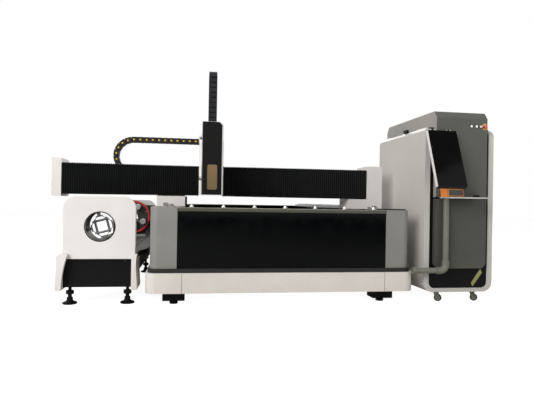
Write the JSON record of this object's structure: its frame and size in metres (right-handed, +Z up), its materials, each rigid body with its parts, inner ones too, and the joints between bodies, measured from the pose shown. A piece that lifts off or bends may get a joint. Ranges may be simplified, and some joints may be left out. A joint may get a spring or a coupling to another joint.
{
  "type": "laser cutting machine",
  "caption": "Open flatbed fiber laser cutting machine with a moving gantry and cutting head, a rotary tube unit at its side and a wheeled control cabinet.",
  "frame": {"origin": "on the floor, under the middle of the whole machine's box", "axes": "+Y along the bed, away from the operator; +X to the operator's right; +Z up"},
  "size_m": [4.268, 4.7022, 2.2242],
  "materials": {
    "bed_grey": "satin",
    "beige": "satin",
    "white": "satin",
    "light_grey": "gloss",
    "dark_grey": "satin",
    "black_paint": "satin",
    "black_gloss": "gloss",
    "rubber": "matte",
    "black_plastic": "matte",
    "steel": "brushed",
    "chrome": "polished",
    "zinc": "satin",
    "red": "gloss",
    "orange": "satin",
    "amber": "gloss",
    "conduit_grey": "satin",
    "green": "gloss"
  },
  "bodies": {
    "machine": {"ball_transfers": "chrome", "bed_covers": "bed_grey", "bed_frame": "bed_grey", "cabinet_body": "dark_grey", "cabinet_hood": "dark_grey", "cabinet_shell": "light_grey", "chuck_cover": "white", "chuck_cradle": "dark_grey", "conduit": "conduit_grey", "corner_posts": "bed_grey", "desk_shelf": "light_grey", "front_glass": "black_gloss", "kick_panel": "black_paint", "levelling_feet": "black_paint", "lower_panel": "dark_grey", "monitor_bracket": "zinc", "mouse": "black_plastic", "pendant": "orange", "plinth": "beige", "rear_forks": "zinc", "seal_strip": "rubber", "signal_lamps": "black_plastic", "slat_table": "steel", "trim_rail": "steel", "tube_base": "dark_grey", "tube_legs": "white", "tube_panel": "black_paint", "y_rails": "steel"},
    "gantry": {"gantry_beam": "dark_grey", "gantry_feet": "black_paint", "end_caps": "white", "bellows_left": "black_plastic", "bellows_right": "black_plastic", "x_chain": "black_plastic"},
    "carriage": {"carriage_plate": "zinc", "head_cover": "white", "cover_window": "amber", "z_chain": "black_plastic"},
    "head": {"z_slide": "zinc", "cutting_head": "zinc"},
    "front_chuck": {"front_drum": "red"},
    "rear_slide": {"rear_carriage": "light_grey"},
    "rear_chuck": {"rear_drum": "red", "rear_ring": "red"},
    "service_door": {"rear_door": "dark_grey"},
    "screen": {"monitor": "black_plastic"},
    "start": {"start_button": "green"},
    "stop": {"stop_button": "red"},
    "key": {"key_switch": "chrome"},
    "mushroom": {"emergency_stop": "red"},
    "fork_left": {"front_fork_left": "zinc"},
    "fork_right": {"front_fork_right": "zinc"},
    "wheel_front_left": {"front_wheel_left": "rubber"},
    "wheel_front_right": {"front_wheel_right": "rubber"},
    "wheel_rear_left": {"rear_wheel_left": "rubber"},
    "wheel_rear_right": {"rear_wheel_right": "rubber"},
    "jaw_1": {"front_jaw_1": "zinc"},
    "jaw_2": {"front_jaw_2": "zinc"},
    "jaw_3": {"front_jaw_3": "zinc"},
    "jaw_4": {"front_jaw_4": "zinc"}
  },
  "joints": [
    {"name": "gantry_y", "type": "slide", "parent": "machine", "child": "gantry", "axis": [0, 1, 0], "range_m": [0, 3]},
    {"name": "carriage_x", "type": "slide", "parent": "gantry", "child": "carriage", "axis": [1, 0, 0], "range_m": [-1.13, 1.3], "deforming": ["bellows_left", "bellows_right", "x_chain"]},
    {"name": "head_z", "type": "slide", "parent": "carriage", "child": "head", "axis": [0, 0, 1], "range_m": [-0.11, 0], "deforming": ["z_chain"]},
    {"name": "front_chuck_turn", "type": "hinge", "parent": "machine", "child": "front_chuck", "pos_m": [-1.584, -1.73386, 0.7], "axis": [0, 1, 0], "continuous": true},
    {"name": "rear_slide_y", "type": "slide", "parent": "machine", "child": "rear_slide", "axis": [0, 1, 0], "range_m": [-1.9, 1.15]},
    {"name": "rear_chuck_turn", "type": "hinge", "parent": "rear_slide", "child": "rear_chuck", "pos_m": [-1.584, 0.85, 0.7], "axis": [0, 1, 0], "continuous": true},
    {"name": "service_door_hinge", "type": "hinge", "parent": "machine", "child": "service_door", "pos_m": [2.0737, -0.88086, 0.935], "axis": [0, 0, -1], "range_deg": [0, 90]},
    {"name": "screen_tilt", "type": "hinge", "parent": "machine", "child": "screen", "pos_m": [1.53, -2.11007, 1.64949], "axis": [1, 0, 0], "range_deg": [-12, 12]},
    {"name": "start_press", "type": "slide", "parent": "machine", "child": "start", "axis": [0, 1, 0], "range_m": [0, 0.003], "stiffness_N_per_m": 800, "springref_m": -0.001},
    {"name": "stop_press", "type": "slide", "parent": "machine", "child": "stop", "axis": [0, 1, 0], "range_m": [0, 0.003], "stiffness_N_per_m": 800, "springref_m": -0.001},
    {"name": "key_turn", "type": "hinge", "parent": "machine", "child": "key", "pos_m": [1.97, -2.08, 1.705], "axis": [0, 1, 0], "range_deg": [0, 90]},
    {"name": "emergency_press", "type": "slide", "parent": "machine", "child": "mushroom", "axis": [0, 1, 0], "range_m": [0, 0.005], "stiffness_N_per_m": 800, "springref_m": -0.001},
    {"name": "jaw_1_slide", "type": "slide", "parent": "front_chuck", "child": "jaw_1", "axis": [-0.2588, 0, 0.9659], "range_m": [0, 0.03]},
    {"name": "jaw_2_slide", "type": "slide", "parent": "front_chuck", "child": "jaw_2", "axis": [-0.9659, 0, -0.2588], "range_m": [0, 0.03]},
    {"name": "jaw_3_slide", "type": "slide", "parent": "front_chuck", "child": "jaw_3", "axis": [0.2588, 0, -0.9659], "range_m": [0, 0.03]},
    {"name": "jaw_4_slide", "type": "slide", "parent": "front_chuck", "child": "jaw_4", "axis": [0.9659, 0, 0.2588], "range_m": [0, 0.03]},
    {"name": "front_left_swivel", "type": "hinge", "parent": "machine", "child": "fork_left", "pos_m": [1.589, -1.94786, 0.07], "axis": [0, 0, 1], "continuous": true},
    {"name": "front_left_roll", "type": "hinge", "parent": "fork_left", "child": "wheel_front_left", "pos_m": [1.6103, -1.96278, 0.036], "axis": [-0.5736, -0.8192, 0], "continuous": true},
    {"name": "rear_left_roll", "type": "hinge", "parent": "machine", "child": "wheel_rear_left", "pos_m": [1.589, -0.93686, 0.036], "axis": [1, 0, 0], "continuous": true},
    {"name": "front_right_swivel", "type": "hinge", "parent": "machine", "child": "fork_right", "pos_m": [1.969, -1.94786, 0.07], "axis": [0, 0, 1], "continuous": true},
    {"name": "front_right_roll", "type": "hinge", "parent": "fork_right", "child": "wheel_front_right", "pos_m": [1.9903, -1.96278, 0.036], "axis": [-0.5736, -0.8192, 0], "continuous": true},
    {"name": "rear_right_roll", "type": "hinge", "parent": "machine", "child": "wheel_rear_right", "pos_m": [1.969, -0.93686, 0.036], "axis": [1, 0, 0], "continuous": true}
  ],
  "couplings": [
    {"joint": "jaw_2_slide", "follows": "jaw_1_slide", "ratio": 1},
    {"joint": "jaw_3_slide", "follows": "jaw_1_slide", "ratio": 1},
    {"joint": "jaw_4_slide", "follows": "jaw_1_slide", "ratio": 1},
    {"joint": "rear_chuck_turn", "follows": "front_chuck_turn", "ratio": 1}
  ]
}
